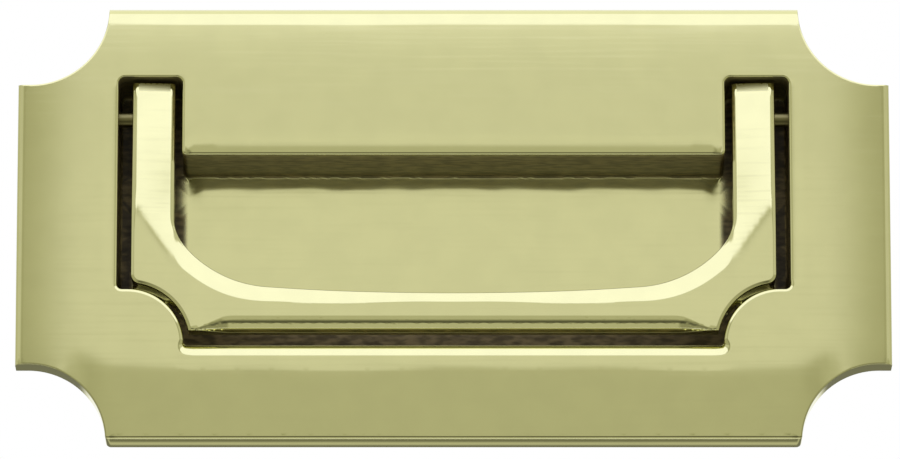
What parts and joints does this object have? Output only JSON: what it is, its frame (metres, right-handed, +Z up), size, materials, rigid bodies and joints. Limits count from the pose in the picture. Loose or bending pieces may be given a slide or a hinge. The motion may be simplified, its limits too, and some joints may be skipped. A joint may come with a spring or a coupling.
{
  "type": "recessed drawer pull",
  "caption": "Recessed brass drawer pull: a crowned plate with scalloped corners, a sunk finger well under a flush tongue, and a U-shaped bail that swings out on hidden pins.",
  "frame": {"origin": "centre of the plate on the flange's back face, where it lies against the drawer front", "axes": "+X to the right seen from the front, +Y into the drawer front, +Z up as installed"},
  "size_m": [0.1016, 0.0174, 0.0522],
  "materials": {
    "backplate_brass": "polished casting",
    "bail_brass": "polished casting",
    "pin_brass": "drawn rod"
  },
  "bodies": {
    "plate": {"backplate": "backplate_brass", "pivot_pin_left": "pin_brass", "pivot_pin_right": "pin_brass"},
    "swing_bail": {"bail": "bail_brass"}
  },
  "joints": [
    {"name": "bail_hinge", "type": "hinge", "parent": "plate", "child": "swing_bail", "pos_m": [0, -0.0012, 0.01275], "axis": [-1, 0, 0], "range_deg": [0, 130]}
  ]
}
